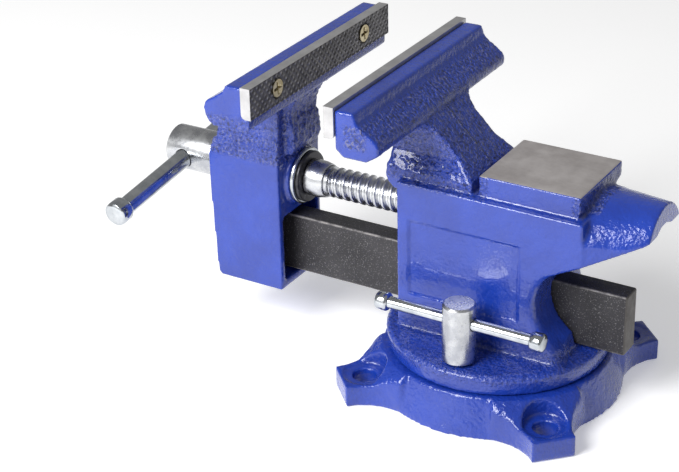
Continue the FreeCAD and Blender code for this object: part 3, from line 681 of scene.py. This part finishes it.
def thread_mesh(start, end):
    """A closed rod with a right-handed thread cut along +Y."""
    around, per_turn = 56, 14
    rows = int((end - start) / THREAD_PITCH * per_turn) + 1
    points = [(0, start, SPINDLE_HEIGHT)]
    for along in np.linspace(start, end, rows):
        for step in range(around):
            turn = step / around
            phase = ((along - start) / THREAD_PITCH - turn) % 1
            wave = min(max(0.5 + 0.85 * math.cos(2 * math.pi * phase), 0), 1)
            fade = min((along - start) / 2.0, 1) * min(max((end - along) / 1.5, 0.0), 1)
            radius = THREAD_ROOT + (THREAD_CREST - THREAD_ROOT) * wave * fade
            angle = 2 * math.pi * turn
            points.append((radius * math.sin(angle), along, SPINDLE_HEIGHT + radius * math.cos(angle)))
    points.append((0, end, SPINDLE_HEIGHT))
    return np.array(points) * MM, turned_faces(rows, around)


def cut_off_thread(made):
    """Cuts the spindle's mesh where its thread starts and closes the cut."""
    grid = bmesh.new()
    grid.from_mesh(made.data)
    everything = grid.verts[:] + grid.edges[:] + grid.faces[:]
    cut = bmesh.ops.bisect_plane(grid, geom=everything, plane_co=(0, (THREAD_START + 0.5) * MM, 0),
                                 plane_no=(0, 1, 0), clear_outer=True)
    rim = [item for item in cut["geom_cut"] if isinstance(item, bmesh.types.BMEdge)]
    bmesh.ops.contextual_create(grid, geom=rim)
    grid.to_mesh(made.data)
    grid.free()


def spindle():
    """The drilled hub and shank from the CAD, with a real thread in place of its plain cylinder."""
    made = cad_copy("spindle_threaded", "spindle")
    cut_off_thread(made)
    bevel_edges(made, 0.5 * MM)
    points, faces = thread_mesh(THREAD_START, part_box("spindle")[1].y / MM)
    grid = bmesh.new()
    grid.from_mesh(made.data)
    corners = [grid.verts.new(p) for p in points]
    for face in faces:
        grid.faces.new([corners[index] for index in face])
    grid.to_mesh(made.data)
    grid.free()
    show(made, "spindle", zinc_look, sharp=50.0)


spindle()


# ---------------------------------------------------------------- tommy bars

def end_knob(half, radius):
    """Outline of a pressed-on end knob, rounded at both ends."""
    return [(-half, 0), (-half, 0.72 * radius), (-0.86 * half, 0.9 * radius), (-0.62 * half, radius),
            (0.55 * half, radius), (0.8 * half, 0.95 * radius), (0.95 * half, 0.82 * radius),
            (half, 0.62 * radius), (half, 0)]


def rod(half, radius):
    """Outline of a plain rod with broken edges."""
    chamfer = 0.4
    return [(-half, 0), (-half, radius - chamfer), (-half + chamfer, radius),
            (half - chamfer, radius), (half, radius - chamfer), (half, 0)]


def middle_of(node):
    """The centre of a CAD node's box."""
    low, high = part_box(node)
    return (low + high) / 2


def tommy_bar(bar, knobs, joint, length, radius, knob_length, knob_radius):
    """A rod and its two end knobs, lying along the axis it slides on."""
    axis = Vector(joints[joint]["axis"]).normalized()
    show(lathe(f"{bar}_rod", rod(length / 2, radius), middle_of(bar), axis), bar, polished_look)
    outline = end_knob(knob_length / 2, knob_radius)
    for node, outwards in zip(knobs, (1, -1)):
        show(lathe(f"{node}_turned", outline, middle_of(node), axis * outwards), node, polished_look)


tommy_bar("handle_bar", ("handle_knob_right", "handle_knob_left"), "tommy_bar_slide",
          length=125.0, radius=4.3, knob_length=8.0, knob_radius=5.7)
tommy_bar("lock_bar", ("lock_knob_rear", "lock_knob_front"), "lock_lever_slide",
          length=76.0, radius=2.7, knob_length=6.0, knob_radius=4.1)
softened("lock_bolt", 0.5 * MM, zinc_look, sharp=50.0)


# ---------------------------------------------------------------- slide bar, washers and fasteners

for plain_node, edge, finish in (
        ("slide_bar", 0.7, bar_look), ("bar_screw", 0.3, zinc_look),
        ("front_thrust_washer", 0.3, zinc_look), ("rear_thrust_washer", 0.4, polished_look),
        ("spring_washer", 0.3, dark_look), ("retaining_collar", 0.2, zinc_look),
        ("spindle_nut", 0.6, nut_look), ("nut_set_screw", 0.2, dark_look),
        ("clamp_nut", 0.4, dark_look), ("pivot_washer", 0.3, zinc_look), ("pivot_bolt", 0.3, dark_look)):
    softened(plain_node, edge * MM, finish)


# ---------------------------------------------------------------- floor, light and camera

def floor():
    """A plain pale floor under the vise."""
    half = 6.0
    corners = [(-half, -half, 0), (half, -half, 0), (half, half, 0), (-half, half, 0)]
    made = new_object("floor", corners, [(0, 1, 2, 3)])
    made.location.z = -0.2 * MM
    look = Look("pale_floor")
    look.colour(look.blend(look.steps(look.grain(3.0), 0.3, 0.7), (0.90, 0.90, 0.90), (0.93, 0.93, 0.93)))
    look.roughness(0.6)
    look.shader.inputs["Emission Color"].default_value = (1.0, 1.0, 1.0, 1.0)
    look.shader.inputs["Emission Strength"].default_value = 0.32
    made.data.materials.append(look.material)


def soft_light(name, direction, distance, size, power):
    """A large square light that looks at the vise."""
    lamp = bpy.data.lights.new(name, "AREA")
    lamp.shape = "SQUARE"
    lamp.size = size
    lamp.energy = power
    made = bpy.data.objects.new(name, lamp)
    made.location = Vector(direction).normalized() * distance + Vector((0, 0, 0.07))
    made.rotation_euler = Vector(direction).to_track_quat("Z", "Y").to_euler()
    scene.collection.objects.link(made)


def studio():
    """A white room with a key light from above and a wider, weaker one beside it."""
    world = bpy.data.worlds.new("studio")
    world.use_nodes = True
    background = world.node_tree.nodes["Background"]
    background.inputs["Color"].default_value = (1.0, 1.0, 1.0, 1.0)
    background.inputs["Strength"].default_value = 0.30
    scene.world = world
    soft_light("key", (0.74, -0.28, 0.61), 1.2, 0.55, 17.0)
    soft_light("side", (0.95, -0.30, 0.10), 1.3, 1.2, 3.0)
    scene.view_settings.view_transform = "Standard"


def camera():
    """The viewpoint: from the lock bolt's side, behind and above."""
    lens = bpy.data.cameras.new("camera")
    lens.lens = 97.84
    lens.sensor_width = 36.0
    made = bpy.data.objects.new("camera", lens)
    place = Vector((633.95, 309.62, 431.36)) * MM
    target = Vector((131.65, 0.0, 127.72)) * MM
    aim = (target - place).to_track_quat("-Z", "Y").to_matrix().to_4x4()
    roll = Matrix.Rotation(math.radians(-1.47), 4, "Z")
    made.matrix_world = Matrix.Translation(place) @ aim @ roll
    scene.collection.objects.link(made)
    scene.camera = made


floor()
studio()
camera()
